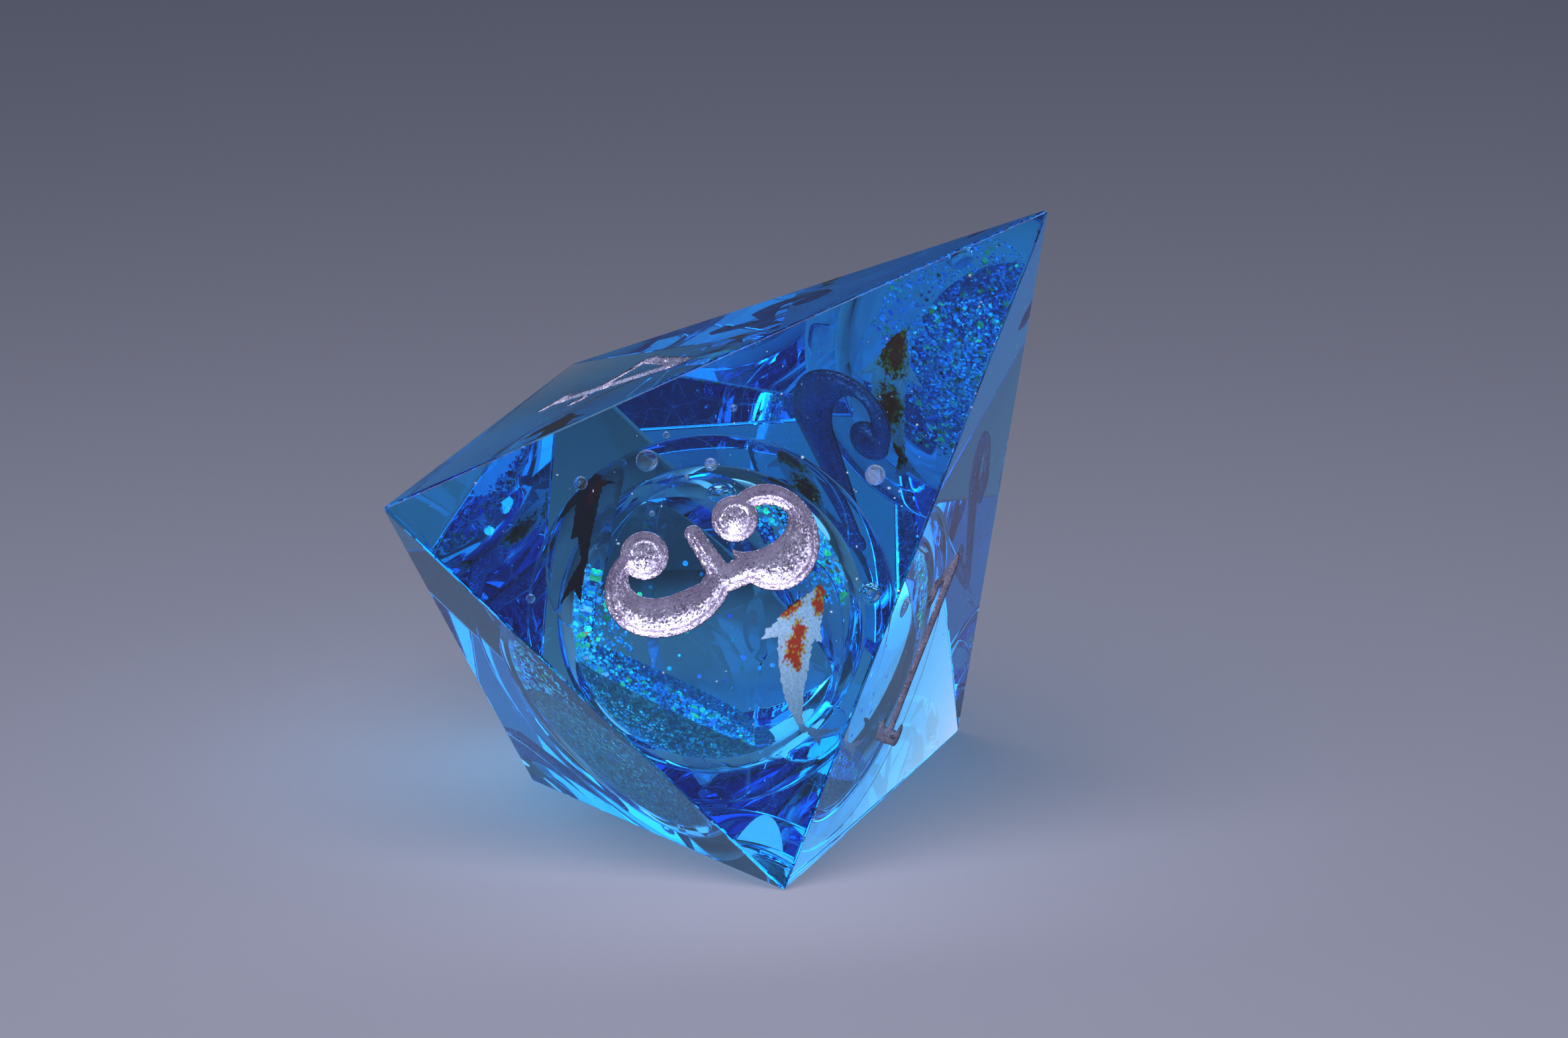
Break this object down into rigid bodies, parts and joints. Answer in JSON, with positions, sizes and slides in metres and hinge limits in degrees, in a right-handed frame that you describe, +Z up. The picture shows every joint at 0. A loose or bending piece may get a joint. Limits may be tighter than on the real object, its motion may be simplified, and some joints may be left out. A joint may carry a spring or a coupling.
{
  "type": "polyhedral die",
  "caption": "Transparent resin die with crisp edges, a lopsided square bipyramid, with a liquid-filled glitter globe and fish stickers cast inside and silver numbers on its long faces.",
  "frame": {"origin": "centre of the bounding box on the surface the die lies on, under its short face", "axes": "+Z up from the face it lies on; +X towards the long pyramid's raised tip; +Y along the girdle side that touches the surface"},
  "size_m": [0.0194, 0.0176, 0.0203],
  "materials": {
    "blue_resin": "clear cast epoxy resin, deep blue, polished",
    "clear_globe": "clear moulded plastic",
    "clear_glue": "clear set adhesive",
    "silver_paint": "metallic silver paint with fine glitter",
    "clear_film": "clear film",
    "light_print": "printed ink, white with orange-red patches",
    "dark_print": "printed ink, near black with dark red patches",
    "core_liquid": "clear tinted liquid",
    "teal_glitter": "fine teal glitter",
    "green_flakes": "holographic flakes, green",
    "red_flakes": "holographic flakes, red",
    "violet_flakes": "holographic flakes, blue-violet",
    "black_specks": "dark specks",
    "trapped_air": "air bubble"
  },
  "bodies": {
    "root": {"resin_body": "blue_resin", "globe_half_left": "clear_globe", "globe_half_right": "clear_globe", "fill_plug": "clear_glue", "digit_1": "silver_paint", "digit_2": "silver_paint", "digit_3": "silver_paint", "digit_4": "silver_paint", "koi_front_film": "clear_film", "koi_side_film": "clear_film", "koi_back_film": "clear_film", "koi_front_print": "light_print", "koi_side_print": "dark_print", "koi_back_print": "light_print"},
    "liquid": {"core_liquid": "core_liquid", "drift_flakes": "teal_glitter"},
    "sediment": {"glitter_bed": "teal_glitter", "flakes_green": "green_flakes", "flakes_red": "red_flakes", "flakes_violet": "violet_flakes", "flakes_black": "black_specks", "air_bubble": "trapped_air"}
  },
  "joints": [
    {"name": "liquid_roll", "type": "hinge", "parent": "root", "child": "liquid", "pos_m": [-0.00143, -0.00097, 0.00624], "axis": [1, 0, 0], "continuous": true},
    {"name": "sediment_roll", "type": "hinge", "parent": "liquid", "child": "sediment", "pos_m": [-0.00143, -0.00097, 0.00624], "axis": [0, 1, 0], "continuous": true}
  ]
}
